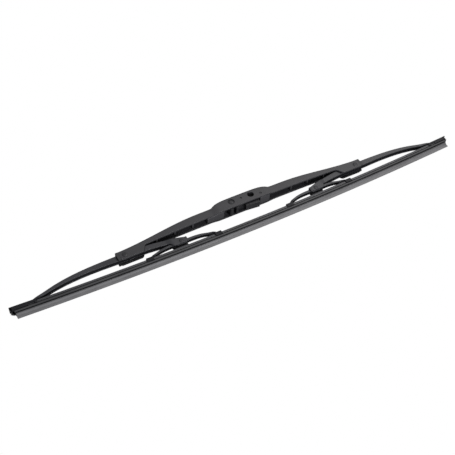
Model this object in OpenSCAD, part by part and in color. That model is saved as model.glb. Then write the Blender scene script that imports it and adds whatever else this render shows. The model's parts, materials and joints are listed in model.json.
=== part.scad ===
// Conventional bracket wiper blade: a bridge, two secondary yokes, two tertiary yokes and six claws
// carry one bowed rubber element that is stiffened by two spring steel strips.
// X runs along the blade, Y across it, and Z up from the glass. The side pin bore is at the origin.

/* [Wiping element] */
// Length of the rubber element from end to end
element_len = 446; // [416:5:476]
// Radius of the arc that the unloaded element follows
bow_r = 4000; // [3500:100:6000]
// Distance that the lip stops short of each end
lip_setback = 0.5; // [0.3:0.1:2]
// Thickness of the lip at its wiping edge
lip_tip_w = 0.7; // [0.5:0.1:1]
// Thickness of the lip where it meets the wedge
lip_root_w = 1.2; // [1:0.1:1.6]
// Height of the thin lip
lip_h = 2.4; // [1.8:0.1:3]
// Width of the wedge at its shoulders
wedge_w = 4.6; // [4:0.1:5.4]
// Height of the wedge
wedge_h = 1.7; // [1.4:0.05:2.2]
// Height of the square shoulder over the wedge
shoulder_h = 0.4; // [0.3:0.1:0.8]
// Width of the neck that lets the lip flip over
neck_w = 1.3; // [1:0.1:1.8]
// Height of the neck
neck_h = 0.95; // [0.6:0.05:1.2]
// Width of the rubber body over the neck
body_w = 6.4; // [6:0.1:7]
// Height of the rubber body
body_h = 1.45; // [1.2:0.05:2]
// Width of rubber left between the two claw grooves
groove_web_w = 3; // [2.6:0.1:3.4]
// Height of the groove that the claws hook into
groove_h = 0.8; // [0.7:0.1:1.2]
// Width of rubber left between the two steel strips
strip_web_w = 1.6; // [1.2:0.1:2]
// Width of the cap over the strips
cap_w = 5.4; // [5:0.1:5.8]
// Height of the cap
cap_h = 1.4; // [1:0.1:2]
// Chamfer on the cap's edges
cap_chamfer = 0.4; // [0.2:0.1:0.6]

/* [Steel strips] */
// Width of one strip
strip_w = 2.1; // [1.8:0.1:2.4]
// Thickness of one strip
strip_t = 0.8; // [0.6:0.05:1]
// Play of a strip in its slot
strip_fit = 0.05; // [0.02:0.01:0.1]

/* [Claws] */
// Sheet thickness of the claws
claw_wall = 0.9; // [0.7:0.1:1.1]
// Play between the claws and the strips
claw_fit = 0.15; // [0.1:0.05:0.3]
// Length of a tertiary claw along the rubber
claw_len = 6.3; // [5:0.1:8]
// Length of a secondary yoke's outer claw, which covers the rubber's end
outer_claw_len = 22.6; // [19:0.2:25]
// Distance that the outer claw runs past the rubber's end
outer_claw_overhang = 3.6; // [3.4:0.1:4.2]
// Length of the notch between the outer claw's two tabs
outer_claw_notch = 5.4; // [4:0.2:6]
// Length of the short tab between the outer claw's inner end and its notch
outer_claw_tab = 1.8; // [1.2:0.1:2.5]
// Width of the stop that is bent down at the outer claw's end
stop_w = 4; // [3:0.2:5]
// Height of that stop
stop_h = 4.8; // [3.5:0.1:5]
// Distance that the stop leans back towards the rubber
stop_lean = 1; // [0.5:0.1:1.4]
// Distance that the outer claw's roof runs past its side walls
nose_len = 2; // [1.2:0.1:2.4]
// Length of the inward tab of a claw
tab_reach = 1.25; // [1:0.05:1.35]
// Thickness of the inward tab
tab_t = 0.55; // [0.4:0.05:0.6]
// Radius of the claws' top edges
claw_corner_r = 1; // [0.6:0.1:1.4]

/* [Tertiary yokes] */
// Distance from the blade's middle to a tertiary pivot
tertiary_x = 70.5; // [68:0.5:73]
// Height of the tertiary pivot over the wiping edge
tertiary_z = 16.3; // [16:0.1:17]
// Distance between a tertiary yoke's two claws
claw_span = 66; // [62:1:70]
// Width of the tertiary bow
bow_w = 3.8; // [3.4:0.1:3.8]
// Sheet thickness of the tertiary bow
bow_wall = 0.8; // [0.6:0.1:1]
// Radius along the bow's two upper edges
bow_corner_r = 0.6; // [0.4:0.1:0.7]
// Depth of the tertiary bow's channel at its middle
bow_h = 2.8; // [2.4:0.1:3.2]
// Depth of the tertiary bow's channel at the claws
bow_tip_h = 1.7; // [1.4:0.1:2.4]
// Rise of the bow's top over its pivot
bow_rise = 1.8; // [1.7:0.05:1.9]
// Drop of the pivot's cheeks under the pivot
cheek_drop = 2.2; // [1.9:0.1:2.6]
// Half length of the pivot's cheeks
cheek_half = 3.6; // [3:0.2:4.4]

/* [Secondary yokes] */
// Distance from the bridge's end to a secondary pivot
pivot_inset = 4.4; // [4:0.1:5]
// Height of the secondary pivot over the wiping edge
secondary_z = 23.9; // [23.6:0.1:24.2]
// Width of the secondary arm
arm_w = 5; // [4.6:0.1:5]
// Width over the ears that hold the tertiary yoke
ear_w = 7; // [6.8:0.1:7.6]
// Sheet thickness of the secondary yoke
yoke_wall = 1; // [0.8:0.1:1]
// Radius along a secondary yoke's two upper edges
yoke_corner_r = 0.8; // [0.5:0.1:0.9]
// Depth of the arm's channel at the pivot
arm_h = 6.4; // [6:0.1:6.8]
// Depth of the arm's channel beside the ears
arm_in_h = 4.6; // [4:0.1:5]
// Depth of the arm's channel at the outer claw
arm_tip_h = 2.4; // [2:0.1:3.2]
// Rise of the arm's top over the secondary pivot
arm_rise = 3.8; // [3.5:0.1:3.9]
// Distance from the tertiary pivot to the ear's inner end
ear_front = 4.8; // [4.4:0.2:6]
// Distance from the tertiary pivot to the ear's outer end
ear_back = 7; // [6:0.25:8]
// Rise of the ear's end over the tertiary pivot
ear_rise = 3.1; // [3:0.1:3.4]
// Drop of the ear's lower edge under the tertiary pivot
ear_drop = 2.2; // [2:0.1:2.8]

/* [Bridge] */
// Distance from the bridge's middle to its end
bridge_half = 125.2; // [116:0.2:132]
// Height of the bridge's top where the arms leave the hump
crest_z = 37; // [36.6:0.1:37.6]
// Half length of the level stretch of the bridge
crest_x = 44; // [38:1:48]
// Drop of the bridge's top from the crest to its end
bridge_drop = 7.5; // [7.3:0.1:7.6]
// Rise of the hump over the crest
hump_rise = 3.6; // [3.2:0.1:4.4]
// Squareness of the hump's outline
hump_power = 5; // [3:0.5:8]
// Half length of the hump
hump_half = 30; // [28:0.5:32]
// Width over the hump
hump_w = 12; // [12:0.1:13]
// Width over the bridge's arms beside the hump
bridge_w = 10; // [9.6:0.1:10.6]
// Width over the bridge's ends
bridge_end_w = 9; // [8.8:0.1:9.6]
// Wall thickness of the bridge
bridge_wall = 1.4; // [1.2:0.05:1.4]
// Roof thickness of the bridge
bridge_roof = 1.1; // [0.9:0.1:1.2]
// Radius of the bridge's top edges
bridge_corner_r = 1.4; // [1:0.1:1.5]
// Height of the bridge's lower edge at its middle
edge_z = 28.3; // [27.8:0.1:28.8]
// Fall of the lower edge from the hump to the end ears
edge_drop = 1.8; // [1.4:0.1:2.2]
// Drop of the end ears under the secondary pivot
bridge_ear_drop = 3.9; // [3.5:0.1:4.2]
// Distance from the secondary pivot to where the ear starts
bridge_ear_back = 14.8; // [12:0.2:16]
// Distance between the cross ribs in the arms
rib_pitch = 18; // [15:0.5:20]
// Number of cross ribs in each arm
rib_count = 3; // [2:1:3]
// Thickness of a cross rib
rib_t = 1.3; // [1:0.1:1.6]
// Length of the closed stretch on the rivet's side
rivet_keel_len = 17; // [12:1:18]
// Length of the closed stretch on the side pin's side
pin_keel_len = 10; // [8:1:14]
// Drop of the closed stretches under the lower edge
keel_drop = 0.3; // [0.2:0.1:1]
// Radius of the closed stretches' lower edges
keel_r = 1.8; // [1:0.1:2.4]
// Radius of the small round mark at the hump's middle
mark_r = 1; // [0.6:0.1:1.4]
// Depth of the round marks in the hump's sides
mark_t = 0.5; // [0.3:0.1:0.7]

/* [Adapter and pins] */
// Distance from the blade's middle to the side pin bore
pin_x = 10.2; // [9.5:0.1:11]
// Distance from the blade's middle to the centre rivet
rivet_x = 10.2; // [9.5:0.1:11]
// Height of the side pin bore and the centre rivet over the wiping edge
pin_z = 34.9; // [34.6:0.1:35]
// Radius of the side pin bore
pin_bore_r = 3.2; // [2.4:0.05:3.2]
// Radius of the centre rivet
rivet_r = 1.7; // [1.4:0.1:1.8]
// Radius of the centre rivet's head
rivet_head_r = 2.2; // [2.1:0.1:2.6]
// Thickness of the centre rivet's head
rivet_head_t = 0.6; // [0.4:0.1:0.6]
// Radius of the recess around the centre rivet's head
recess_r = 3.2; // [3.1:0.05:3.4]
// Depth of that recess
recess_t = 0.8; // [0.6:0.1:0.9]
// Width of the adapter
adapter_w = 8.9; // [8.4:0.1:9]
// Width of the latch block
latch_w = 6.8; // [6:0.2:8]
// Radius of the adapter's barrel around the centre rivet
barrel_r = 4.3; // [4:0.1:4.4]
// Rise of the thumb pad over the rivet's centre
pad_rise = 4.9; // [4.7:0.1:5.2]
// Distance from the blade's middle to the latch block's end
latch_end = 15; // [14:0.1:15.2]
// Length of the latch block
latch_len = 13.8; // [12:0.2:15]
// Drop of the latch block under the bridge's lower edge
latch_drop = 3.3; // [2.5:0.1:3.6]
// Rise of the latch block's lower edge towards the rivet
latch_slope = 1.3; // [0:0.1:2]
// Height of the slit that lets the latch block spring
slit_h = 0.7; // [0.5:0.1:1]
// Number of grip grooves on the thumb pad
grip_count = 4; // [3:1:5]
// Drop of the snap legs under the bridge's lower edge
leg_drop = 1.2; // [0.4:0.1:1.6]
// Width of the snap opening under the centre rivet
snap_w = 3.2; // [2.8:0.1:3.4]
// Radius of a secondary rivet
secondary_rivet_r = 1.5; // [1.2:0.1:1.6]
// Radius of a tertiary rivet
tertiary_rivet_r = 1.1; // [0.9:0.1:1.2]
// Thickness of the yoke rivets' heads
yoke_head_t = 0.5; // [0.3:0.1:0.7]
// Width of a yoke rivet's head beyond its shaft
yoke_head_rim = 0.8; // [0.6:0.1:1]
// Length that a secondary liner's collar stands out of the bridge
secondary_collar_len = 2.6; // [2:0.2:4]
// Length that a tertiary liner's collar stands out of the ears
tertiary_collar_len = 1.2; // [1:0.1:2]

/* [Fits] */
// Radial play of a rivet in its hole
run_fit = 0.05; // [0.02:0.01:0.08]
// Play between a moving yoke and its liner on each side
side_fit = 0.1; // [0.05:0.01:0.15]
// Play between a liner and the yoke that holds it
seat_fit = 0.02; // [0.01:0.01:0.05]

/* [Hidden] */
// Fragments of a full circle in small round shapes
$fn = 48;
// Fragments of a full circle on the element's arc
arc_fn = 1800;
// Steps in the rounded corner of a channel section
corner_steps = 3;
// Depth by which joined solids run into each other
bite = 0.3;
// Length by which a cut runs past the solid that it cuts
over = 1;

bridge_black = [0.10, 0.10, 0.11];
yoke_black = [0.14, 0.14, 0.15];
liner_black = [0.07, 0.07, 0.08];
rubber_grey = [0.30, 0.30, 0.33];
steel_grey = [0.55, 0.56, 0.58];
rivet_grey = [0.25, 0.25, 0.27];

// Heights of the rubber section, counted up from the wiping edge
wedge_top_z = lip_h + wedge_h;
shoulder_z = wedge_top_z + shoulder_h;
neck_top_z = shoulder_z + neck_h;
body_top_z = neck_top_z + body_h;
slot_z = body_top_z + groove_h;
slot_top_z = slot_z + strip_t + 2 * strip_fit;
cap_top_z = slot_top_z + cap_h;
element_half = element_len / 2;

// Widths and heights of a claw
strip_edge_w = strip_web_w + 2 * (strip_fit + strip_w);
claw_in_w = strip_edge_w + 2 * claw_fit;
claw_w = claw_in_w + 2 * claw_wall;
claw_roof_z = cap_top_z + claw_fit;
claw_top_z = claw_roof_z + claw_wall;
tab_z = body_top_z + (groove_h - tab_t) / 2;
outer_claw_end_x = element_half + outer_claw_overhang;
outer_claw_start_x = outer_claw_end_x - outer_claw_len;
notch_x = outer_claw_start_x + outer_claw_tab + outer_claw_notch / 2;

// Where the yokes start and end along the blade
ear_x = tertiary_x - ear_front;
ear_end_x = tertiary_x + ear_back;
ear_blend = 6.5;
secondary_x = bridge_half - pivot_inset;
arm_end_x = outer_claw_start_x + outer_claw_tab;
arm_top = secondary_z + arm_rise;
ear_top = tertiary_z + ear_rise;
bow_half = claw_span / 2 - claw_len / 4;
bow_top = tertiary_z + bow_rise;
bow_power = 4;
cheek_blend = 2.4;
arm_out_power = 3.3;
arm_in_power = 2.2;
flare_len = 12;
bow_flare_len = 7;
// Least height that a channel keeps under its roof
sliver = 0.05;
// Amount by which a flared end stays narrower than its claw
claw_step = 0.1;

// Inner widths and lower edges of the bridge
hump_in_w = hump_w - 2 * bridge_wall;
bridge_in_w = bridge_end_w - 2 * bridge_wall;
bridge_ear_z = secondary_z - bridge_ear_drop;
bridge_ear_x = secondary_x - bridge_ear_back;
bridge_ear_blend = 6.5;
drop_end_x = bridge_half + 6;
waist_x = hump_half + 4;
waist_start_x = hump_half - 6;
hook_gap = 6.5;
latch_gap = 2.2;
// Relief of the window's sides, so that no skin is left on the walls
window_w = hump_in_w + 0.1;
window_rivet_x = -rivet_x - barrel_r - hook_gap;
window_pin_x = latch_end + latch_gap;
side_mark_x = 19.4;
side_mark_z = 32.3;
side_mark_r = 1.2;
rib_start_x = waist_x + rib_pitch;
rib_lift = 1.5;
recess_y = hump_w / 2 - recess_t;
head_rim_share = 0.4;
head_top_share = 0.6;
latch_bottom_z = edge_z - latch_drop;
latch_x = latch_end - latch_len;
slit_z = edge_z + 0.9;
slit_wall = 1.5;
leg_bottom_z = edge_z - leg_drop;
leg_chamfer = 0.8;
pad_x = barrel_r - rivet_x + 1.5;
grip_pitch = 2;
grip_w = 0.8;
grip_t = 0.5;

// Sizes of the liners
secondary_cheek_len = 10;
secondary_cheek_h = 6;
secondary_cheek_drop = 3.4;
tertiary_cheek_len = 5.5;
tertiary_cheek_h = 4.2;
tertiary_cheek_drop = 2.2;
secondary_collar_play = 0.65;
tertiary_collar_play = 0.4;
collar_t = 0.7;
collar_rim = 0.1;

// A share from 0 to 1 that rises smoothly while x goes from a to b
function rise(x, a, b) = (1 - cos(180 * max(0, min(1, (x - a) / (b - a))))) / 2;
function mix(a, b, share) = a + (b - a) * share;
function steps(a, b, count) = [for (i = [1 : count]) a + (b - a) * i / count];

// Height and slope of the element's arc at a distance from its middle
function arc_z(x) = bow_r - sqrt(bow_r * bow_r - x * x);
function arc_tilt(x) = asin(x / bow_r);

// One station of an open channel: half width, top, lower edge, wall, roof and corner radius
function channel_ring(x, half_w, top, low, wall, roof, r) =
    let (under = max(top - roof, low + sliver), c = min(r, top - low - sliver))
    concat(
        [[x, -half_w, low]],
        [for (i = [0 : corner_steps]) let (a = 90 * i / corner_steps)
            [x, -half_w + c - c * cos(a), top - c + c * sin(a)]],
        [for (i = [0 : corner_steps]) let (a = 90 * i / corner_steps)
            [x, half_w - c + c * sin(a), top - c + c * cos(a)]],
        [[x, half_w, low], [x, half_w - wall, low], [x, half_w - wall, under],
            [x, -half_w + wall, under], [x, -half_w + wall, low]]);

// Ends of a channel section as convex pieces, and of a plain convex section
CHANNEL_CAP = let (c = corner_steps, last = 2 * c + 7) concat(
    [[0, 1, last - 1, last]],
    [for (k = [1 : c]) [last - 1, k, k + 1]],
    [[c + 1, c + 2, last - 2, last - 1]],
    [for (k = [c + 2 : 2 * c + 1]) [last - 2, k, k + 1]],
    [[last - 5, last - 4, last - 3, last - 2]]);
function convex_cap(count) = [[for (j = [0 : count - 1]) j]];

// Skin over stations that all have the same number of points, closed by the same cap at both ends
module loft(rings, cap) {
    count = len(rings[0]);
    last = len(rings) - 1;
    polyhedron(
        points = [for (ring = rings) each ring],
        faces = concat(
            [for (face = cap) [for (j = [len(face) - 1 : -1 : 0]) face[j]]],
            [for (face = cap) [for (j = face) last * count + j]],
            [for (i = [0 : last - 1], j = [0 : count - 1], half = [0, 1])
                let (a = i * count + j, b = i * count + (j + 1) % count)
                half == 0 ? [a, b, b + count] : [a, b + count, a + count]]));
}

module blade_place() {
    translate([-pin_x, 0, -pin_z]) children();
}

module on_arc(x) {
    translate([0, 0, bow_r]) rotate([0, -arc_tilt(x), 0]) translate([0, 0, -bow_r]) children();
}

// A section drawn as [across, up] and swept along the element's arc
module along_arc(section, half_len) {
    sweep = 2 * arc_tilt(half_len);
    translate([0, 0, bow_r]) rotate([90, 90, 0]) rotate([0, 0, -sweep / 2])
        rotate_extrude(angle = sweep, $fn = arc_fn)
            polygon([for (p = section) [bow_r - p[1], p[0]]]);
}

// A bar across the blade, centred on its own length
module cross_bar(x, z, r, length) {
    translate([x, 0, z]) rotate([90, 0, 0]) cylinder(r = r, h = length, center = true);
}

module block(x0, x1, y0, y1, z0, z1) {
    translate([x0, y0, z0]) cube([x1 - x0, y1 - y0, z1 - z0]);
}

module both_sides() {
    children();
    mirror([0, 1, 0]) children();
}

// Rubber element

function rubber_half() = [
    [lip_tip_w / 2, 0],
    [lip_root_w / 2, lip_h],
    [wedge_w / 2, wedge_top_z],
    [wedge_w / 2, shoulder_z],
    [neck_w / 2, shoulder_z],
    [neck_w / 2, neck_top_z],
    [body_w / 2, neck_top_z],
    [body_w / 2, body_top_z],
    [groove_web_w / 2, body_top_z],
    [groove_web_w / 2, slot_z],
    [strip_web_w / 2, slot_z],
    [strip_web_w / 2, slot_top_z],
    [cap_w / 2, slot_top_z],
    [cap_w / 2, cap_top_z - cap_chamfer],
    [cap_w / 2 - cap_chamfer, cap_top_z]];

function mirrored(half) = concat(half,
    [for (i = [len(half) - 1 : -1 : 0]) [-half[i][0], half[i][1]]]);

module rubber_blade() {
    color(rubber_grey) difference() {
        along_arc(mirrored(rubber_half()), element_half);
        end_cuts();
    }
}

module end_cuts() {
    for (side = [0, 1]) mirror([side, 0, 0])
        on_arc(element_half - lip_setback)
            translate([0, -body_w, -over])
                cube([2 * lip_setback, 2 * body_w, neck_top_z - neck_h / 2 + over]);
}

module strip() {
    y0 = strip_web_w / 2 + strip_fit;
    z0 = slot_z + strip_fit;
    color(steel_grey)
        along_arc([[y0, z0], [y0 + strip_w, z0], [y0 + strip_w, z0 + strip_t], [y0, z0 + strip_t]],
            element_half);
}

// Claws

function claw_half() = concat(
    [for (i = [0 : 2 * corner_steps]) let (a = 45 * i / corner_steps)
        [claw_w / 2 - claw_corner_r + claw_corner_r * sin(a),
            claw_top_z - claw_corner_r + claw_corner_r * cos(a)]],
    [[claw_w / 2, tab_z],
        [claw_in_w / 2 - tab_reach, tab_z],
        [claw_in_w / 2 - tab_reach, tab_z + tab_t],
        [claw_in_w / 2, tab_z + tab_t],
        [claw_in_w / 2, claw_roof_z]]);

module claw(x, length) {
    on_arc(x) rotate([90, 0, 90]) linear_extrude(length, center = true)
        polygon(mirrored(claw_half()));
}

// Tertiary yoke, at the right side of the blade

function bow_top_at(u) = mix(bow_top, claw_top_z + arc_z(tertiary_x), pow(abs(u) / bow_half, bow_power));

function bow_low_at(u) =
    let (plain = bow_top_at(u) - mix(bow_h, bow_tip_h, abs(u) / bow_half),
        cheek = mix(tertiary_z - cheek_drop, plain, rise(abs(u), cheek_half, cheek_half + cheek_blend)))
    max(cheek, arc_z(tertiary_x + u) + claw_roof_z + sliver);

function bow_half_w(u) =
    mix(bow_w, claw_w - claw_step, rise(abs(u), bow_half - bow_flare_len, bow_half)) / 2;

function bow_ring(u) = channel_ring(tertiary_x + u, bow_half_w(u), bow_top_at(u), bow_low_at(u),
    bow_wall, bow_wall, bow_corner_r);

module tertiary_yoke() {
    half_stations = concat(
        steps(0, cheek_half, 1),
        steps(cheek_half, cheek_half + cheek_blend, 3),
        steps(cheek_half + cheek_blend, bow_half - bow_flare_len, 5),
        steps(bow_half - bow_flare_len, bow_half, 4));
    count = len(half_stations);
    stations = concat([for (i = [count - 1 : -1 : 0]) -half_stations[i]], [0], half_stations);
    color(yoke_black) difference() {
        union() {
            loft([for (u = stations) bow_ring(u)], CHANNEL_CAP);
            for (side = [-1, 1]) claw(tertiary_x + side * claw_span / 2, claw_len);
        }
        cross_bar(tertiary_x, tertiary_z, tertiary_rivet_r + run_fit, bow_w + 2 * over);
    }
}

// Secondary yoke, at the right side of the blade

function arm_out_share(x) = (x - secondary_x) / (arm_end_x - secondary_x);
function arm_in_share(x) = (secondary_x - x) / (secondary_x - ear_x);

function arm_top_at(x) = x > secondary_x
    ? mix(arm_top, claw_top_z + arc_z(arm_end_x), pow(arm_out_share(x), arm_out_power))
    : mix(arm_top, ear_top, pow(arm_in_share(x), arm_in_power));

function arm_low_at(x) =
    let (depth = x > secondary_x ? mix(arm_h, arm_tip_h, arm_out_share(x))
            : mix(arm_h, arm_in_h, arm_in_share(x)),
        plain = arm_top_at(x) - depth,
        ear = mix(tertiary_z - ear_drop, plain, rise(x, ear_end_x, ear_end_x + ear_blend / 2)))
    max(ear, arc_z(x) + claw_roof_z + sliver);

function arm_half_w(x) =
    let (plain = mix(ear_w, arm_w, rise(x, ear_end_x, ear_end_x + ear_blend)))
    mix(plain, claw_w - claw_step, rise(x, arm_end_x - flare_len, arm_end_x)) / 2;

function arm_ring(x) = channel_ring(x, arm_half_w(x), arm_top_at(x), arm_low_at(x),
    yoke_wall, yoke_wall, yoke_corner_r);

module secondary_yoke() {
    stations = concat(
        [ear_x, mix(ear_x, ear_end_x, 0.5), ear_end_x],
        steps(ear_end_x, ear_end_x + ear_blend, 6),
        steps(ear_end_x + ear_blend, secondary_x, 5),
        steps(secondary_x, arm_end_x - flare_len, 9),
        steps(arm_end_x - flare_len, arm_end_x, 5));
    color(yoke_black) difference() {
        union() {
            loft([for (x = stations) arm_ring(x)], CHANNEL_CAP);
            outer_claw();
        }
        outer_claw_notch_cut();
        cross_bar(secondary_x, secondary_z, secondary_rivet_r + run_fit, arm_w + 2 * over);
        cross_bar(tertiary_x, tertiary_z, tertiary_rivet_r + run_fit, ear_w + 2 * over);
    }
}

// The long claw at the arm's end, whose roof runs on to a stop bent down over the rubber's end
module outer_claw() {
    difference() {
        claw(outer_claw_end_x - outer_claw_len / 2, outer_claw_len);
        on_arc(outer_claw_end_x) both_sides()
            translate([-nose_len, stop_w / 2, tab_z - over])
                cube([nose_len + over, claw_w / 2, claw_roof_z - tab_z + over]);
    }
    on_arc(outer_claw_end_x) rotate([90, 0, 0]) linear_extrude(stop_w, center = true)
        polygon([[-claw_wall, claw_roof_z], [0, claw_roof_z], [-stop_lean, claw_top_z - stop_h],
            [-stop_lean - claw_wall, claw_top_z - stop_h]]);
}

// Parts each side wall of the outer claw into two tabs
module outer_claw_notch_cut() {
    on_arc(notch_x)
        translate([-outer_claw_notch / 2, -claw_w, body_top_z - over])
            cube([outer_claw_notch, 2 * claw_w, slot_z + strip_t - body_top_z + over]);
}

// Liners, at the right side of the blade

// Two cheeks beside the moving yoke, from cheek_x to the collar's start, and a collar around that yoke.
// widths are those of the moving yoke's passage, over the cheeks and over the collar
// heights are the lower end, the cheeks' top, the passage's top and the collar's top
module liner(pivot_x, pivot_z, hole_r, cheek_x, collar_x, collar_end_x, widths, heights) {
    both_y = widths[1] / 2;
    collar_y = widths[2] / 2;
    collar_low_x = min(collar_x, collar_end_x);
    collar_high_x = max(collar_x, collar_end_x);
    color(liner_black) difference() {
        union() {
            block(min(cheek_x, collar_x), max(cheek_x, collar_x), -both_y, both_y, heights[0], heights[1]);
            block(collar_low_x, collar_high_x, -collar_y, collar_y, heights[0], heights[3]);
        }
        block(min(cheek_x, collar_low_x) - over, max(cheek_x, collar_high_x) + over,
            -widths[0] / 2, widths[0] / 2, heights[0] - over, heights[2]);
        cross_bar(pivot_x, pivot_z, hole_r, widths[1] + over);
    }
}

module secondary_liner() {
    low_z = secondary_z - secondary_cheek_drop;
    passage_z = arm_top + secondary_collar_play;
    liner(secondary_x, secondary_z, secondary_rivet_r + run_fit,
        secondary_x - secondary_cheek_len, bridge_half, bridge_half + secondary_collar_len,
        [arm_w + 2 * side_fit, bridge_in_w - 2 * seat_fit, bridge_end_w - 2 * collar_rim],
        [low_z, low_z + secondary_cheek_h, passage_z, passage_z + collar_t]);
}

module tertiary_liner() {
    low_z = tertiary_z - tertiary_cheek_drop;
    passage_z = bow_top + tertiary_collar_play;
    liner(tertiary_x, tertiary_z, tertiary_rivet_r + run_fit,
        tertiary_x + tertiary_cheek_len, ear_x, ear_x - tertiary_collar_len,
        [bow_w + 2 * side_fit, ear_w - 2 * yoke_wall - 2 * seat_fit, ear_w - 2 * collar_rim],
        [low_z, low_z + tertiary_cheek_h, passage_z, passage_z + collar_t]);
}

// Rivets

// A rivet with a head at each end, whose rim is as thick as a share of the head
module headed_rivet(x, z, r, length, head_r, head_t) {
    rim_t = head_t * head_rim_share;
    top_r = head_r * head_top_share;
    color(rivet_grey) {
        cross_bar(x, z, r, length + head_t);
        both_sides() translate([x, length / 2, z]) rotate([-90, 0, 0])
            rotate_extrude()
                polygon([[0, 0], [head_r, 0], [head_r, rim_t], [top_r, head_t], [0, head_t]]);
    }
}

module secondary_rivet() {
    headed_rivet(secondary_x, secondary_z, secondary_rivet_r, bridge_end_w,
        secondary_rivet_r + yoke_head_rim, yoke_head_t);
}

module tertiary_rivet() {
    headed_rivet(tertiary_x, tertiary_z, tertiary_rivet_r, ear_w,
        tertiary_rivet_r + yoke_head_rim, yoke_head_t);
}

module centre_rivet() {
    headed_rivet(-rivet_x, pin_z, rivet_r, 2 * recess_y, rivet_head_r, rivet_head_t);
}

// Bridge

function bridge_top_at(x) = let (a = abs(x))
    crest_z - bridge_drop * rise(a, crest_x, drop_end_x)
        + hump_rise * (1 - pow(min(1, a / hump_half), hump_power));

function bridge_low_at(x) =
    let (a = abs(x),
        share = max(0, a - hump_half) / (bridge_ear_x - hump_half),
        arm = edge_z - edge_drop * share * share)
    mix(arm, bridge_ear_z, rise(a, bridge_ear_x - bridge_ear_blend, bridge_ear_x));

function bridge_half_w(x) =
    let (a = abs(x), arm = mix(bridge_w, bridge_end_w, rise(a, waist_x, bridge_ear_x - bridge_ear_blend)))
    mix(hump_w, arm, rise(a, waist_start_x, waist_x)) / 2;

function bridge_ring(x) = channel_ring(x, bridge_half_w(x), bridge_top_at(x), bridge_low_at(x),
    bridge_wall, bridge_roof, bridge_corner_r);

// Closed stretch of the bridge: a solid floor with rounded lower corners
function keel_ring(x) =
    let (r = keel_r, half_w = bridge_half_w(x) - bridge_wall + bite,
        low = edge_z - keel_drop, top = crest_z - bridge_roof)
    concat(
        [[x, -half_w, top], [x, half_w, top]],
        [for (i = [0 : corner_steps]) let (a = 90 * i / corner_steps)
            [x, half_w - r + r * cos(a), low + r - r * sin(a)]],
        [for (i = [0 : corner_steps]) let (a = 90 * i / corner_steps)
            [x, -half_w + r - r * sin(a), low + r - r * cos(a)]]);

module keel(x0, x1) {
    rings = [for (x = concat([x0], steps(x0, x1, 4))) keel_ring(x)];
    loft(rings, convex_cap(len(rings[0])));
}

module cross_rib(x) {
    half_w = bridge_half_w(x) - bridge_wall + bite;
    block(x - rib_t / 2, x + rib_t / 2, -half_w, half_w,
        bridge_low_at(x) + rib_lift, bridge_top_at(x) - bridge_roof + bite);
}

module bridge_shell() {
    half_stations = concat(
        steps(0, hump_half / 2, 2),
        steps(hump_half / 2, hump_half, 9),
        steps(hump_half, waist_x, 2),
        steps(waist_x, bridge_ear_x - bridge_ear_blend, 8),
        steps(bridge_ear_x - bridge_ear_blend, bridge_ear_x, 6),
        steps(bridge_ear_x, bridge_half, 3));
    count = len(half_stations);
    stations = concat([for (i = [count - 1 : -1 : 0]) -half_stations[i]], [0], half_stations);
    loft([for (x = stations) bridge_ring(x)], CHANNEL_CAP);
}

// Opening of the hump for the arm's hook and the adapter
module hump_window() {
    block(window_rivet_x, window_pin_x, -window_w / 2, window_w / 2,
        edge_z + over, crest_z + hump_rise + over);
}

// A shallow round mark in both sides of the hump
module side_mark(x, z, r) {
    both_sides() translate([x, hump_w / 2 - mark_t, z]) rotate([-90, 0, 0])
        cylinder(r = r, h = mark_t + over);
}

module primary_bridge() {
    color(bridge_black) difference() {
        union() {
            bridge_shell();
            keel(window_rivet_x - rivet_keel_len, window_rivet_x);
            keel(window_pin_x, window_pin_x + pin_keel_len);
            for (side = [-1, 1], i = [0 : rib_count - 1]) cross_rib(side * (rib_start_x + i * rib_pitch));
        }
        hump_window();
        cross_bar(pin_x, pin_z, pin_bore_r, hump_w + 2 * over);
        cross_bar(-rivet_x, pin_z, rivet_r + run_fit, hump_w + 2 * over);
        both_sides() translate([-rivet_x, recess_y, pin_z]) rotate([-90, 0, 0])
            cylinder(r = recess_r, h = recess_t + over);
        side_mark(0, pin_z, mark_r);
        side_mark(side_mark_x, side_mark_z, side_mark_r);
        for (side = [-1, 1])
            cross_bar(side * secondary_x, secondary_z, secondary_rivet_r + run_fit, bridge_w + 2 * over);
    }
}

// Adapter that snaps on the centre rivet and holds the wiper arm's hook

module adapter_outline() {
    difference() {
        union() {
            translate([-rivet_x, pin_z]) circle(r = barrel_r);
            translate([-rivet_x, pin_z - barrel_r]) square([latch_end + rivet_x, 2 * barrel_r]);
            translate([pad_x, pin_z]) square([pin_x, pad_rise]);
            translate([-rivet_x - barrel_r, leg_bottom_z]) square([2 * barrel_r, pin_z - leg_bottom_z]);
        }
        translate([-rivet_x, pin_z]) circle(r = rivet_r + run_fit);
        translate([-rivet_x - snap_w / 2, leg_bottom_z - over]) square([snap_w, pin_z - leg_bottom_z + over]);
        for (side = [-1, 1]) translate([-rivet_x + side * barrel_r, leg_bottom_z]) rotate(45)
            square(leg_chamfer * sqrt(2), center = true);
        translate([pin_x, pin_z]) circle(r = pin_bore_r);
        for (i = [0 : grip_count - 1]) translate([pad_x + grip_pitch * (i + 1), pin_z + pad_rise - grip_t])
            square([grip_w, grip_t + over]);
    }
}

// The block that springs against the hump's closed stretch, cut free by a slit
module latch_outline() {
    difference() {
        polygon([[latch_x, pin_z], [latch_x, latch_bottom_z + latch_slope], [latch_end, latch_bottom_z],
            [latch_end, pin_z]]);
        translate([latch_x - over, slit_z]) square([latch_len - slit_wall + over, slit_h]);
        translate([pin_x, pin_z]) circle(r = pin_bore_r);
    }
}

module across(width) {
    translate([0, width / 2, 0]) rotate([90, 0, 0]) linear_extrude(width) children();
}

module adapter_clip() {
    color(liner_black) {
        across(adapter_w) adapter_outline();
        across(latch_w) latch_outline();
    }
}

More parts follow.
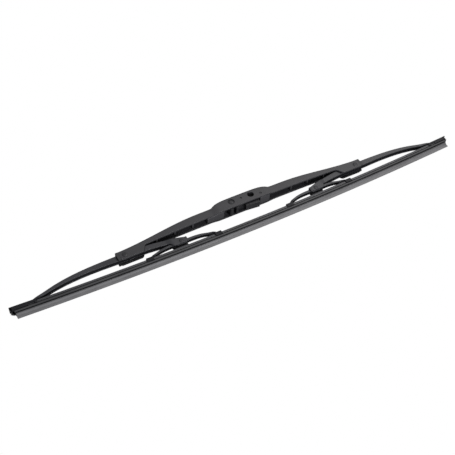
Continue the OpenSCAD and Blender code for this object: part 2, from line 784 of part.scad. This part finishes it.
blade_place() primary_bridge();
blade_place() centre_rivet();
blade_place() adapter_clip();
blade_place() mirror([1, 0, 0]) secondary_rivet();  // left_secondary_rivet
blade_place() secondary_rivet();  // right_secondary_rivet
blade_place() mirror([1, 0, 0]) secondary_liner();  // left_secondary_liner
blade_place() secondary_liner();  // right_secondary_liner
blade_place() mirror([1, 0, 0]) secondary_yoke();  // left_secondary_yoke
blade_place() secondary_yoke();  // right_secondary_yoke
blade_place() mirror([1, 0, 0]) tertiary_rivet();  // left_tertiary_rivet
blade_place() tertiary_rivet();  // right_tertiary_rivet
blade_place() mirror([1, 0, 0]) tertiary_liner();  // left_tertiary_liner
blade_place() tertiary_liner();  // right_tertiary_liner
blade_place() mirror([1, 0, 0]) tertiary_yoke();  // left_tertiary_yoke
blade_place() tertiary_yoke();  // right_tertiary_yoke
blade_place() rubber_blade();
blade_place() mirror([0, 1, 0]) strip();  // front_strip
blade_place() strip();  // rear_strip
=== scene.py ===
import json
import math

import bmesh
import bpy
from mathutils import Matrix, Vector


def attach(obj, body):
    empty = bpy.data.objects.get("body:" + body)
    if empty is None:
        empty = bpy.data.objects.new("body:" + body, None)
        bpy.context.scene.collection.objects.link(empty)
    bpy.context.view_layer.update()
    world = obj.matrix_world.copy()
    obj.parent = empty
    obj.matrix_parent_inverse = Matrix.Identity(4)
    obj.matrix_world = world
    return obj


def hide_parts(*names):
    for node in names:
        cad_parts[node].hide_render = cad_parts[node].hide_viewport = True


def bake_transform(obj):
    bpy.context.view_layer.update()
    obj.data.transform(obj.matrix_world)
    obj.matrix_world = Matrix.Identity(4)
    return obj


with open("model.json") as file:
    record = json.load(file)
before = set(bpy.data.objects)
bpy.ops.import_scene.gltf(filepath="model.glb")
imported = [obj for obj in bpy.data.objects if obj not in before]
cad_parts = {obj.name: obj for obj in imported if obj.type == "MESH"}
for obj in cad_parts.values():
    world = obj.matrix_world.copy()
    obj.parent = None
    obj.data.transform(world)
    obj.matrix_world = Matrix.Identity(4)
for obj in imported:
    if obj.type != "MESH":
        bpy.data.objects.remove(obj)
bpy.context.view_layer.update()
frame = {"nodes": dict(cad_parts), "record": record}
nodes = frame["nodes"]
scene = bpy.context.scene

MM = 0.001

# Sizes of the CAD model, in millimetres. Heights are over the wiping edge at the blade's middle
PIN_X, PIN_Z = 10.2, 34.9
BOW_R = 4000.0
ELEMENT_HALF = 223.0
ELEMENT_TOP = 10.0
LIP_SETBACK = 0.5
INNER_CLAW_X = 37.5
CLAW_LEN = 6.0
CLAW_TOP = 11.3
NECK_MIDDLE = 4.975
CAP_START = 8.6

# The rubber's and a strip's section, as (across, height) points of one half
RUBBER_LOW = [(0.35, 0.0), (0.6, 2.4), (2.3, 4.1), (2.3, 4.5), (0.65, 4.5)]
RUBBER_HIGH = [(0.65, 5.45), (3.2, 5.45), (3.2, 6.9), (1.5, 6.9), (1.5, 7.7), (0.8, 7.7),
               (0.8, CAP_START), (2.85, CAP_START), (2.85, 9.75), (2.6, ELEMENT_TOP)]
STRIP = [(0.85, 7.75), (2.95, 7.75), (2.95, 8.55), (0.85, 8.55)]
RUBBER_CORNER_R = 0.15
STRIP_CORNER_R = 0.12
RUBBER_STEP = 3.0
STRIP_STEP = 5.0

# How the long soft pieces are divided, in millimetres
CLAW_SLIDE = 1.1
MIDDLE_HALF = INNER_CLAW_X - CLAW_LEN / 2 - CLAW_SLIDE
CORE_LEN = 1.4
CORE_INSET = 0.05

# Heights between which the looks change, in millimetres
COAT_TOP = 3.6
COAT_FADE = 0.15
CAP_FADE = 0.1
CLAW_FADE = 1.0

# The vertex attribute that holds the rest position
REST_PLACE = "rest_place"

# Shading: rays per bevel and recess, and where an edge and a recess begin and end
BEVEL_RAYS = 4
RECESS_RAYS = 8
EDGE_START, EDGE_FULL = 0.995, 0.85
RECESS_FULL, RECESS_END = 0.55, 0.95
SHARP_DEGREES = 38

# Drawing: the longest share of a side that a rounded corner takes, and a difference that doesn't count
CORNER_SHARE = 0.4
TINY = 1e-6


# Camera, lights and floor

# The camera's place, fitted to the photograph, in degrees, metres and pixels
CAMERA_AZIMUTH = 24.904
CAMERA_ELEVATION = -34.099
CAMERA_ROLL = -36.282
CAMERA_DISTANCE = 0.701676
CAMERA_FOCAL = 785.712
FRAME_PIXELS = 455
SENSOR_MM = 36.0
CLIP_START, CLIP_END = 0.01, 20.0

# The point that the camera and the lights face, first in millimetres as the other sizes
TARGET_X, TARGET_Z = -25.684, 13.6
TARGET = Vector((TARGET_X - PIN_X, 0.0, TARGET_Z - PIN_Z)) * MM

# The floor, in metres
FLOOR_HEIGHT = -0.62
FLOOR_HALF = 4.0

WHITE = (1.0, 1.0, 1.0)


def camera_axes():
    """The camera's forward, right and up directions in the row frame."""
    angles = (CAMERA_AZIMUTH, CAMERA_ELEVATION, CAMERA_ROLL)
    azimuth, elevation, roll = (math.radians(angle) for angle in angles)
    forward = Vector((math.sin(azimuth) * math.cos(elevation),
                      math.cos(azimuth) * math.cos(elevation),
                      -math.sin(elevation)))
    level = Vector((math.cos(azimuth), -math.sin(azimuth), 0.0))
    upright = level.cross(forward)
    right = level * math.cos(roll) + upright * math.sin(roll)
    up = upright * math.cos(roll) - level * math.sin(roll)
    return forward, right, up


def place(obj, location, right, up, back):
    """Puts a camera or a light there, facing away from back."""
    obj.matrix_world = Matrix.Translation(location) @ Matrix((right, up, back)).transposed().to_4x4()


def add_camera():
    """The camera that sees the blade as the photograph does."""
    forward, right, up = camera_axes()
    data = bpy.data.cameras.new("camera")
    data.sensor_width = SENSOR_MM
    data.lens = CAMERA_FOCAL * SENSOR_MM / FRAME_PIXELS
    data.clip_start = CLIP_START
    data.clip_end = CLIP_END
    camera = bpy.data.objects.new("camera", data)
    scene.collection.objects.link(camera)
    place(camera, TARGET - forward * CAMERA_DISTANCE, right, up, -forward)
    scene.camera = camera


def add_area(name, offset, size, watts, colour):
    """A square soft light that faces the blade's middle.
    offset is along the picture's right and up and towards the camera, in metres."""
    forward, right, up = camera_axes()
    location = TARGET + right * offset[0] + up * offset[1] - forward * offset[2]
    data = bpy.data.lights.new(name, "AREA")
    data.shape = "SQUARE"
    data.size = size
    data.energy = watts
    data.color = colour
    light = bpy.data.objects.new(name, data)
    scene.collection.objects.link(light)
    back = (location - TARGET).normalized()
    side = up.cross(back).normalized()
    place(light, location, side, back.cross(side), back)


def add_world(seen, glow):
    """A white surround that lights the blade less than it shows."""
    world = bpy.data.worlds.new("studio")
    world.use_nodes = True
    tree = world.node_tree
    tree.nodes.clear()
    output = tree.nodes.new("ShaderNodeOutputWorld")
    mix = tree.nodes.new("ShaderNodeMixShader")
    path = tree.nodes.new("ShaderNodeLightPath")
    for socket, strength in ((1, glow), (2, seen)):
        background = tree.nodes.new("ShaderNodeBackground")
        background.inputs["Color"].default_value = (*WHITE, 1.0)
        background.inputs["Strength"].default_value = strength
        tree.links.new(background.outputs[0], mix.inputs[socket])
    tree.links.new(path.outputs["Is Camera Ray"], mix.inputs[0])
    tree.links.new(mix.outputs[0], output.inputs["Surface"])
    scene.world = world


def add_floor(height, half):
    """A square sheet of paper far below the blade. It isn't part of the object."""
    corners = [(-half, -half, height), (half, -half, height), (half, half, height), (-half, half, height)]
    mesh = bpy.data.meshes.new("floor")
    mesh.from_pydata(corners, [], [(0, 1, 2, 3)])
    floor = bpy.data.objects.new("floor", mesh)
    scene.collection.objects.link(floor)
    floor.data.materials.append(floor_material())


# Materials

class Shader:
    """A principled material and short calls for the nodes that feed it."""

    def __init__(self, name, rest_attribute=None):
        """rest_attribute names the vertex attribute with the rest position, for meshes that bend."""
        self.material = bpy.data.materials.new(name)
        self.material.use_nodes = True
        self.tree = self.material.node_tree
        self.tree.nodes.clear()
        output = self.tree.nodes.new("ShaderNodeOutputMaterial")
        self.bsdf = self.tree.nodes.new("ShaderNodeBsdfPrincipled")
        self.link(self.bsdf.outputs["BSDF"], output.inputs["Surface"])
        if rest_attribute is None:
            self.place = self.tree.nodes.new("ShaderNodeTexCoord").outputs["Object"]
        else:
            attribute = self.tree.nodes.new("ShaderNodeAttribute")
            attribute.attribute_name = rest_attribute
            self.place = attribute.outputs["Vector"]
        self.normal = None

    def link(self, source, target):
        self.tree.links.new(source, target)

    def set(self, **values):
        """Sets uniform values on the shader's own sockets."""
        for key, value in values.items():
            self.bsdf.inputs[key.replace("_", " ")].default_value = value
        return self

    def noise(self, scale, stretch=(1.0, 1.0, 1.0), detail=3.0, roughness=0.5, distortion=0.0):
        """Cloudy noise from 0 to 1. stretch under 1 draws it out along that axis."""
        mapping = self.tree.nodes.new("ShaderNodeMapping")
        mapping.inputs["Scale"].default_value = stretch
        self.link(self.place, mapping.inputs["Vector"])
        node = self.tree.nodes.new("ShaderNodeTexNoise")
        node.inputs["Scale"].default_value = scale
        node.inputs["Detail"].default_value = detail
        node.inputs["Roughness"].default_value = roughness
        node.inputs["Distortion"].default_value = distortion
        self.link(mapping.outputs["Vector"], node.inputs["Vector"])
        return node.outputs["Fac"]

    def cells(self, scale):
        """The distance from the middle of small cells."""
        node = self.tree.nodes.new("ShaderNodeTexVoronoi")
        node.inputs["Scale"].default_value = scale
        self.link(self.place, node.inputs["Vector"])
        return node.outputs["Distance"]

    def span(self, value, from_low, from_high, to_low, to_high):
        """value's range from_low to from_high, spread over to_low to to_high and held beyond them."""
        node = self.tree.nodes.new("ShaderNodeMapRange")
        node.inputs["From Min"].default_value = from_low
        node.inputs["From Max"].default_value = from_high
        node.inputs["To Min"].default_value = to_low
        node.inputs["To Max"].default_value = to_high
        self.link(value, node.inputs["Value"])
        return node.outputs["Result"]

    def calculate(self, operation, a, b):
        """One sum, difference, product or quotient. a and b are sockets or numbers."""
        node = self.tree.nodes.new("ShaderNodeMath")
        node.operation = operation
        for socket, value in ((0, a), (1, b)):
            if isinstance(value, (int, float)):
                node.inputs[socket].default_value = value
            else:
                self.link(value, node.inputs[socket])
        return node.outputs[0]

    def mix(self, share, low, high):
        """low where share is 0 and high where it is 1. They are sockets or colours."""
        node = self.tree.nodes.new("ShaderNodeMix")
        node.data_type = "RGBA"
        self.link(share, node.inputs["Factor"])
        for socket, value in ((6, low), (7, high)):
            if isinstance(value, tuple):
                node.inputs[socket].default_value = (*value, 1.0)
            else:
                self.link(value, node.inputs[socket])
        return node.outputs[2]

    def mottle(self, cloud, dark, light):
        """From dark to light as the noise goes through the middle of its range."""
        return self.mix(self.span(cloud, 0.3, 0.7, 0.0, 1.0), dark, light)

    def bump(self, height, depth, strength=1.0):
        """Adds relief of that depth in millimetres on what came before."""
        node = self.tree.nodes.new("ShaderNodeBump")
        node.inputs["Strength"].default_value = strength
        node.inputs["Distance"].default_value = depth * MM
        self.link(height, node.inputs["Height"])
        if self.normal is not None:
            self.link(self.normal, node.inputs["Normal"])
        self.normal = node.outputs["Normal"]
        return self

    def round_edges(self, radius):
        """Rounds the light on hard edges and returns where the edges are, from 0 to 1."""
        bevel = self.tree.nodes.new("ShaderNodeBevel")
        bevel.samples = BEVEL_RAYS
        bevel.inputs["Radius"].default_value = radius * MM
        self.normal = bevel.outputs["Normal"]
        geometry = self.tree.nodes.new("ShaderNodeNewGeometry")
        dot = self.tree.nodes.new("ShaderNodeVectorMath")
        dot.operation = "DOT_PRODUCT"
        self.link(bevel.outputs["Normal"], dot.inputs[0])
        self.link(geometry.outputs["Normal"], dot.inputs[1])
        return self.span(dot.outputs["Value"], EDGE_START, EDGE_FULL, 0.0, 1.0)

    def painted_recess_shade(self, reach):
        """1 on open faces and down to 0 deep in a recess: the mask for painted shade, where colour and sheen
        are darkened as if in shade. reach is in millimetres.
        """
        cavity = self.tree.nodes.new("ShaderNodeAmbientOcclusion")
        cavity.samples = RECESS_RAYS
        cavity.inputs["Distance"].default_value = reach * MM
        return self.span(cavity.outputs["AO"], RECESS_FULL, RECESS_END, 0.0, 1.0)

    def section_height(self):
        """The point's height over the wiping edge, measured from the element's arc, in metres."""
        node = self.tree.nodes.new("ShaderNodeSeparateXYZ")
        self.link(self.place, node.inputs["Vector"])
        along = self.calculate("ADD", node.outputs["X"], PIN_X * MM)
        bow = self.calculate("DIVIDE", self.calculate("MULTIPLY", along, along), 2 * BOW_R * MM)
        return self.calculate("SUBTRACT", self.calculate("ADD", node.outputs["Z"], PIN_Z * MM), bow)

    def finish(self, colour, rough):
        """Joins colour, roughness and relief to the shader and returns the material."""
        self.link(colour, self.bsdf.inputs["Base Color"])
        self.link(rough, self.bsdf.inputs["Roughness"])
        if self.normal is not None:
            self.link(self.normal, self.bsdf.inputs["Normal"])
        return self.material


def bridge_material():
    """Black glass-filled moulding: fine spark-eroded grain, faint flow marks, edges polished smoother and
    painted lighter as a highlight, and painted shade deep in recesses.
    """
    s = Shader("bridge_plastic")
    edge = s.round_edges(0.35)
    flow = s.noise(28, (0.35, 1.0, 1.4), detail=4, roughness=0.6, distortion=0.4)
    grain = s.noise(2600, detail=2)
    pits = s.cells(1900)
    s.bump(grain, 0.03).bump(pits, 0.02).bump(flow, 0.05)
    colour = s.mottle(flow, (0.022, 0.022, 0.025), (0.032, 0.031, 0.035))
    colour = s.mix(s.span(grain, 0.45, 0.75, 0.0, 0.35), colour, (0.046, 0.046, 0.051))
    # Painted highlight: the colour is lighter along the edges. The lower roughness there is a real polish.
    painted_edge_highlight = s.calculate("MULTIPLY", edge, s.span(flow, 0.35, 0.6, 0.25, 0.7))
    colour = s.mix(painted_edge_highlight, colour, (0.060, 0.060, 0.066))
    # Painted shade: darker colour and less sheen deep in recesses.
    free = s.painted_recess_shade(1.3)
    colour = s.mix(free, (0.017, 0.017, 0.019), colour)
    s.link(s.span(free, 0.0, 1.0, 0.12, 0.5), s.bsdf.inputs["Specular IOR Level"])
    rough = s.span(flow, 0.25, 0.75, 0.42, 0.54)
    return s.finish(colour, s.calculate("SUBTRACT", rough, s.calculate("MULTIPLY", edge, 0.1)))


def adapter_material():
    """Smooth black moulding with light scuffs where an arm's hook slides."""
    s = Shader("adapter_plastic").set(Specular_IOR_Level=0.4)
    edge = s.round_edges(0.3)
    cloud = s.noise(90, detail=3)
    scuff = s.noise(420, (1.0, 0.15, 1.0), detail=5, roughness=0.7)
    s.bump(scuff, 0.02).bump(s.noise(3000, detail=2), 0.012)
    colour = s.mottle(cloud, (0.008, 0.008, 0.009), (0.014, 0.014, 0.016))
    colour = s.mix(s.span(scuff, 0.56, 0.72, 0.0, 0.5), colour, (0.035, 0.035, 0.038))
    # Painted highlight: the colour is lighter along the edges.
    colour = s.mix(s.calculate("MULTIPLY", edge, 0.5), colour, (0.05, 0.05, 0.054))
    return s.finish(colour, s.span(scuff, 0.3, 0.7, 0.3, 0.46))


def liner_material():
    """Plain black moulding with a dull, slightly chalky skin."""
    s = Shader("liner_plastic").set(Specular_IOR_Level=0.45)
    edge = s.round_edges(0.2)
    cloud = s.noise(160, detail=4, roughness=0.6)
    s.bump(s.noise(2400, detail=2), 0.02)
    colour = s.mottle(cloud, (0.018, 0.018, 0.02), (0.032, 0.032, 0.035))
    # Painted highlight: the colour is lighter along the edges.
    colour = s.mix(s.calculate("MULTIPLY", edge, 0.4), colour, (0.06, 0.06, 0.065))
    return s.finish(colour, s.span(cloud, 0.3, 0.7, 0.48, 0.62))


def yoke_material():
    """Satin black coating on pressed steel: orange peel, worn at the sheared edges, darker and less glossy
    on the claws, and painted shade in recesses.
    """
    s = Shader("yoke_coating")
    edge = s.round_edges(0.25)
    peel = s.noise(700, detail=2, roughness=0.45)
    cloud = s.noise(45, (0.5, 1.0, 1.0), detail=4)
    speck = s.noise(1500, detail=5, roughness=0.7)
    s.bump(peel, 0.035).bump(speck, 0.008)
    colour = s.mottle(cloud, (0.024, 0.024, 0.028), (0.035, 0.035, 0.040))
    worn = s.calculate("MULTIPLY", edge, s.span(speck, 0.5, 0.62, 0.15, 0.75))
    colour = s.mix(worn, colour, (0.11, 0.11, 0.115))
    # Darker and less glossy on the claws, below the claw top.
    over_claws = s.span(s.section_height(), CLAW_TOP * MM, (CLAW_TOP + CLAW_FADE) * MM, 0.35, 1.0)
    # Painted shade: darker colour and less sheen deep in recesses. The same dark colour and lower sheen also
    # cover the claws.
    free = s.calculate("MULTIPLY", s.painted_recess_shade(0.9), over_claws)
    colour = s.mix(free, (0.007, 0.007, 0.008), colour)
    s.link(s.calculate("MULTIPLY", free, 0.5), s.bsdf.inputs["Specular IOR Level"])
    s.link(s.calculate("MULTIPLY", worn, 0.6), s.bsdf.inputs["Metallic"])
    return s.finish(colour, s.span(peel, 0.3, 0.7, 0.34, 0.46))


def rivet_material():
    """Black coated steel with a slightly stained, rough skin."""
    s = Shader("rivet_steel").set(Metallic=0.2, Specular_IOR_Level=0.4)
    edge = s.round_edges(0.12)
    stain = s.noise(900, detail=4, roughness=0.6)
    s.bump(stain, 0.012).bump(s.noise(4200, detail=1), 0.006)
    colour = s.mix(s.span(stain, 0.35, 0.65, 0.0, 1.0), (0.020, 0.020, 0.023), (0.034, 0.034, 0.037))
    # Painted highlight: the colour is lighter along the edges.
    colour = s.mix(s.calculate("MULTIPLY", edge, 0.4), colour, (0.045, 0.045, 0.048))
    return s.finish(colour, s.span(stain, 0.3, 0.7, 0.45, 0.62))


def strip_material():
    """Rolled spring steel under a thin dark coat: fine lines along the blade, faint oxide clouds."""
    s = Shader("strip_steel", REST_PLACE).set(Metallic=0.6)
    lines = s.noise(700, (0.02, 1.0, 1.6), detail=3, roughness=0.5)
    cloud = s.noise(60, (0.3, 1.0, 1.0), detail=4, roughness=0.6)
    s.bump(lines, 0.006)
    colour = s.mottle(lines, (0.060, 0.061, 0.065), (0.090, 0.091, 0.097))
    colour = s.mix(s.span(cloud, 0.5, 0.75, 0.0, 0.45), colour, (0.040, 0.038, 0.036))
    return s.finish(colour, s.span(lines, 0.3, 0.7, 0.38, 0.52))


def rubber_material():
    """Extruded rubber: draw lines along the blade, a graphite coat on the lip and wedge, cloudy bloom."""
    s = Shader("blade_rubber", REST_PLACE)
    height = s.section_height()
    draw = s.noise(1400, (0.012, 1.0, 1.0), detail=4, roughness=0.65)
    bloom = s.noise(70, (0.5, 1.0, 1.0), detail=5, roughness=0.65, distortion=0.5)
    fine = s.noise(3000, detail=2)
    s.bump(draw, 0.03).bump(fine, 0.012)
    body = s.mottle(bloom, (0.030, 0.030, 0.032), (0.050, 0.050, 0.053))
    coat = s.mottle(bloom, (0.088, 0.087, 0.091), (0.134, 0.133, 0.139))
    cap = s.mottle(bloom, (0.046, 0.046, 0.051), (0.068, 0.068, 0.075))
    colour = s.mix(s.span(height, COAT_TOP * MM, (COAT_TOP + COAT_FADE) * MM, 1.0, 0.0), body, coat)
    colour = s.mix(s.span(height, CAP_START * MM, (CAP_START + CAP_FADE) * MM, 0.0, 1.0), colour, cap)
    colour = s.mix(s.span(draw, 0.45, 0.8, 0.0, 0.3), colour, (0.022, 0.022, 0.025))
    # Painted shade: darker colour and less sheen deep in the grooves and recesses.
    free = s.painted_recess_shade(1.2)
    colour = s.mix(free, (0.010, 0.010, 0.011), colour)
    s.link(s.calculate("MULTIPLY", free, 0.4), s.bsdf.inputs["Specular IOR Level"])
    return s.finish(colour, s.span(bloom, 0.3, 0.7, 0.5, 0.66))


def floor_material():
    """Pale matt paper with faint clouds and a fine tooth."""
    s = Shader("floor_paper")
    cloud = s.noise(2.5, detail=3)
    s.bump(s.noise(300, detail=3), 0.1, 0.3)
    return s.finish(s.mottle(cloud, (0.80, 0.80, 0.80), (0.84, 0.84, 0.835)),
                    s.span(cloud, 0.3, 0.7, 0.6, 0.7))


# Rubber and strips

def rounded(points, radius):
    """A closed outline with each corner cut to a short arc of up to that radius."""
    out = []
    count = len(points)
    for i, corner in enumerate(points):
        before, after = Vector(points[i - 1]), Vector(points[(i + 1) % count])
        here = Vector(corner)
        a, b = before - here, after - here
        reach = min(radius, CORNER_SHARE * a.length, CORNER_SHARE * b.length)
        start, end = here + a.normalized() * reach, here + b.normalized() * reach
        for share in (0.0, 0.5, 1.0):
            out.append(tuple(start * (1 - share) ** 2 + here * 2 * share * (1 - share) + end * share ** 2))
    return out


def arc_point(x, across, up):
    """A point that lies at that height over the wiping edge, on the section of the arc at distance x."""
    sine = x / BOW_R
    radius = BOW_R - up
    return Vector((radius * sine - PIN_X, across, BOW_R - radius * math.sqrt(1 - sine * sine) - PIN_Z)) * MM


def inset(outline, depth):
    """The same closed outline drawn in by that depth."""
    out = []
    for i, point in enumerate(outline):
        here = Vector(point)
        before = (here - Vector(outline[i - 1])).normalized()
        after = (Vector(outline[(i + 1) % len(outline)]) - here).normalized()
        inward = Vector((-before.y - after.y, before.x + after.x)).normalized()
        out.append(tuple(here + inward * depth))
    return out


def sweep(name, outline, x0, x1, step, material, end_split=None, core=0.0):
    """An outline of (across, up) points drawn along the blade's arc from x0 to x1.
    end_split is (height, length): only what lies over that height goes on for that length at the x1 end.
    core is the length of the slightly thinner ends that go on inside the next lengths."""
    count = max(2, round(abs(x1 - x0) / step))
    rings = [(x0 + (x1 - x0) * i / count, outline) for i in range(count + 1)]
    if core:
        thin = inset(outline, CORE_INSET)
        rings = [(x0 - core, thin), (x0, thin)] + rings + [(x1, thin), (x1 + core, thin)]
    size = len(outline)
    last = (len(rings) - 1) * size
    verts = [arc_point(x, *point) for x, ring in rings for point in ring]
    faces = []
    for base in range(0, last, size):
        faces += band(range(base, base + size), range(base + size, base + 2 * size))
    faces.append(tuple(range(size)))
    if end_split is None:
        faces.append(tuple(range(last, last + size)))
    else:
        add_split_end(verts, faces, outline, last, x1, *end_split)
    return finished_mesh(name, verts, faces, material)


def band(ring, following):
    """The four-sided faces between two closed rings of vertex numbers."""
    after = [(j + 1) % len(ring) for j in range(len(ring))]
    return [(ring[j], ring[k], following[k], following[j]) for j, k in enumerate(after)]


def add_split_end(verts, faces, outline, last, x, height, length):
    """Closes the outline's lower part at x and its upper part further out by that length."""
    size = len(outline)
    upper = [j for j, point in enumerate(outline) if point[1] >= height - TINY]
    lower = [j % size for j in range(upper[-1], upper[0] + size + 1)]
    faces.append(tuple(last + j for j in lower))
    base = len(verts)
    outer_x = x + math.copysign(length, x)
    verts += [arc_point(outer_x, *outline[j]) for j in upper]
    faces += band([last + j for j in upper], range(base, base + len(upper)))
    faces.append(tuple(range(base, base + len(upper))))


def finished_mesh(name, verts, faces, material):
    """The mesh as an object of the scene, with its rest position kept for the material."""
    mesh = bpy.data.meshes.new(name)
    mesh.from_pydata(verts, [], faces)
    mesh.validate()
    mesh.update()
    tidy_normals(mesh)
    smooth(mesh)
    rest = mesh.attributes.new(REST_PLACE, "FLOAT_VECTOR", "POINT")
    rest.data.foreach_set("vector", [value for vertex in mesh.vertices for value in vertex.co])
    mesh.materials.append(material)
    obj = bpy.data.objects.new(name, mesh)
    scene.collection.objects.link(obj)
    return obj


def tidy_normals(mesh):
    """Turns all faces outwards."""
    bm = bmesh.new()
    bm.from_mesh(mesh)
    bmesh.ops.recalc_face_normals(bm, faces=bm.faces)
    bm.to_mesh(mesh)
    bm.free()


def smooth(mesh):
    """Smooth shading, with the edges kept sharp where the faces turn more than SHARP_DEGREES."""
    mesh.polygons.foreach_set("use_smooth", [True] * len(mesh.polygons))
    mesh.set_sharp_from_angle(angle=math.radians(SHARP_DEGREES))


def mirrored(points):
    """The same points on the other side, in the opposite order."""
    return [(-across, up) for across, up in reversed(points)]


def rubber_outline():
    """The rubber's section with small rounded corners and a point on each side at the middle of its neck."""
    half = RUBBER_LOW + RUBBER_HIGH
    outline = rounded(half + mirrored(half), RUBBER_CORNER_R)
    out = []
    for i, point in enumerate(outline):
        out.append(point)
        following = outline[(i + 1) % len(outline)]
        if (point[1] - NECK_MIDDLE) * (following[1] - NECK_MIDDLE) < 0:
            out.append((point[0], NECK_MIDDLE))
    return out


def strip_outline(side):
    """The section of the strip on the +Y side, or of the other one where side is negative."""
    outline = rounded(STRIP, STRIP_CORNER_R)
    return outline if side > 0 else mirrored(outline)


def add_element(rubber, steel):
    """Each long soft node becomes three lengths: the middle one rises and falls, the outer ones are baked in
    place. They meet just inside the inner claws. The middle one's thinner ends go on inside the outer ones
    and fill the millimetre that opens there as the claws slide along the rubber."""
    add_lengths("rubber_blade", "rubber", rubber_outline(), RUBBER_STEP, rubber, LIP_SETBACK)
    add_lengths("front_strip", "front_strip", strip_outline(-1), STRIP_STEP, steel)
    add_lengths("rear_strip", "rear_strip", strip_outline(1), STRIP_STEP, steel)


def add_lengths(node, stem, outline, step, material, setback=0.0):
    """The three lengths of one node. setback is how far its lower part ends before the upper one."""
    middle = sweep(stem + "_middle", outline, -MIDDLE_HALF, MIDDLE_HALF, step, material, core=CORE_LEN)
    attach(middle, "wiping_element")
    pieces = [middle]
    split = (NECK_MIDDLE, setback) if setback else None
    for word, side in (("left", -1), ("right", 1)):
        end = side * (ELEMENT_HALF - setback)
        piece = sweep(f"{stem}_{word}", outline, side * MIDDLE_HALF, end, step, material, split)
        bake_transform(piece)
        pieces.append(piece)
    for piece in pieces:
        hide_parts(node)


# The scene

def dress(materials):
    """Gives each CAD node the material of its slot."""
    slots = {part["node"]: part["material_slot"] for part in frame["record"]["subparts"]}
    for name, obj in nodes.items():
        material = materials[slots[name]]
        obj.data.materials.clear()
        obj.data.materials.append(material)
        for polygon in obj.data.polygons:
            polygon.material_index = 0


materials = {"bridge": bridge_material(), "adapter": adapter_material(), "liner": liner_material(),
             "yoke": yoke_material(), "rivet": rivet_material(), "rubber": rubber_material(),
             "strip": strip_material()}
dress(materials)
add_element(materials["rubber"], materials["strip"])

add_camera()
add_world(seen=1.0, glow=0.27)
add_floor(FLOOR_HEIGHT, FLOOR_HALF)
add_area("key_light", offset=(0.40, 0.76, 0.36), size=0.55, watts=5.7, colour=(1.0, 0.985, 0.96))
add_area("fill_light", offset=(-0.8, 0.1, 0.6), size=0.9, watts=1.0, colour=(0.95, 0.97, 1.0))
add_area("under_light", offset=(0.24, -0.16, 0.42), size=0.25, watts=2.5, colour=(0.97, 0.98, 1.0))
scene.view_settings.view_transform = "Standard"
